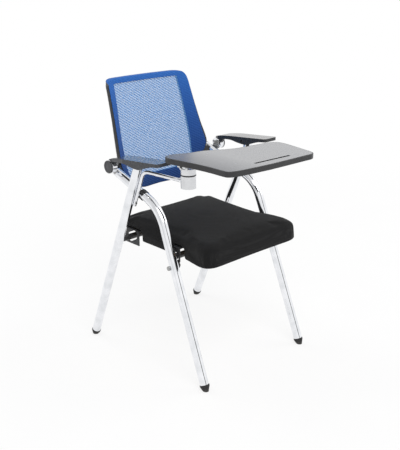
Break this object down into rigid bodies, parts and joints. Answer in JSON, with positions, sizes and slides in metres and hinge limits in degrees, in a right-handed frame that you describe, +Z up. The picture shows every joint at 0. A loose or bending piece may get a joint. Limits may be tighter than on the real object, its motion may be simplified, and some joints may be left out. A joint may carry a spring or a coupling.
{
  "type": "folding tablet chair",
  "caption": "Folding school chair with chrome crossed legs, upholstered seat, hollow mesh back, armrests and a swivelling, lifting writing tablet.",
  "frame": {"origin": "on the floor, under the middle of the whole chair's box", "axes": "+Z up, -Y the way the sitter faces, +X to the sitter's left"},
  "size_m": [0.5102, 0.6458, 0.8631],
  "materials": {
    "chrome_tube": "bright chrome plating",
    "chrome_rod": "bright chrome plating",
    "bright_steel": "zinc plated",
    "black_steel": "satin black powder coat",
    "black_plastic": "matt moulded",
    "back_plastic": "matt moulded, fine grain",
    "arm_plastic": "satin moulded",
    "cap_plastic": "satin moulded",
    "glide_rubber": "matt rubber",
    "tablet_top": "satin laminate",
    "tablet_edging": "soft moulded edge",
    "seat_fabric": "woven upholstery",
    "mesh_fabric": "stretched mesh weave",
    "seat_wood": "raw plywood"
  },
  "bodies": {
    "root": {"front_leg_right": "chrome_tube", "front_leg_left": "chrome_tube", "front_cross_tube": "black_steel", "frame_end_plugs": "black_plastic", "front_glide_right": "glide_rubber", "front_glide_left": "glide_rubber", "stop_clips": "black_plastic", "back_frame": "back_plastic", "back_mesh": "mesh_fabric", "back_screws": "bright_steel", "arm_pivot_pins": "bright_steel", "seat_pivot_bolts": "bright_steel"},
    "arm_right": {"armrest_right": "arm_plastic", "arm_cap_right": "cap_plastic", "arm_pin_right": "bright_steel"},
    "arm_left": {"armrest_left": "arm_plastic", "arm_cap_left": "cap_plastic", "arm_pin_left": "bright_steel"},
    "rear_frame": {"rear_leg_right": "chrome_tube", "rear_leg_left": "chrome_tube", "rear_leg_eyes": "black_plastic", "rear_cross_tube": "black_steel", "rear_glide_right": "glide_rubber", "rear_glide_left": "glide_rubber", "tablet_rod": "chrome_rod", "rod_bolt": "bright_steel", "swivel_sleeve": "chrome_rod"},
    "tablet_post": {"swivel_ring": "black_plastic", "swivel_barrel": "chrome_rod", "swivel_shaft": "bright_steel", "tablet_hinge_pin": "bright_steel"},
    "tablet": {"tablet_hinge_leaf": "black_steel", "tablet_board": "tablet_top", "tablet_edge": "tablet_edging", "tablet_screws": "bright_steel"},
    "seat": {"seat_cushion": "seat_fabric", "seat_board": "seat_wood", "seat_front_brackets": "black_steel", "seat_rear_brackets": "black_steel", "seat_screws": "bright_steel"}
  },
  "joints": [
    {"name": "fold", "type": "hinge", "parent": "root", "child": "arm_right", "pos_m": [-0.2285, 0.1894, 0.61806], "axis": [-1, 0, 0], "range_deg": [0, 74.25]},
    {"name": "fold_left_arm", "type": "hinge", "parent": "root", "child": "arm_left", "pos_m": [0.2285, 0.1894, 0.61806], "axis": [-1, 0, 0], "range_deg": [0, 74.25]},
    {"name": "fold_rear_legs", "type": "hinge", "parent": "arm_right", "child": "rear_frame", "pos_m": [-0.2375, 0.04684, 0.652], "axis": [1, 0, 0], "range_deg": [0, 38.04]},
    {"name": "fold_seat", "type": "hinge", "parent": "root", "child": "seat", "pos_m": [0, -0.07073, 0.354], "axis": [1, 0, 0], "range_deg": [0, 27.55]},
    {"name": "tablet_swivel", "type": "hinge", "parent": "rear_frame", "child": "tablet_post", "pos_m": [-0.185, -0.1126, 0.63], "axis": [0, 0, 1], "range_deg": [-90, 0]},
    {"name": "tablet_lift", "type": "hinge", "parent": "tablet_post", "child": "tablet", "pos_m": [-0.2075, -0.1126, 0.672], "axis": [0, -1, 0], "range_deg": [0, 90]}
  ],
  "couplings": [
    {"joint": "fold_left_arm", "follows": "fold", "ratio": 1},
    {"joint": "fold_rear_legs", "follows": "fold", "ratio": 0.5123},
    {"joint": "fold_seat", "follows": "fold", "ratio": 0.37098}
  ]
}
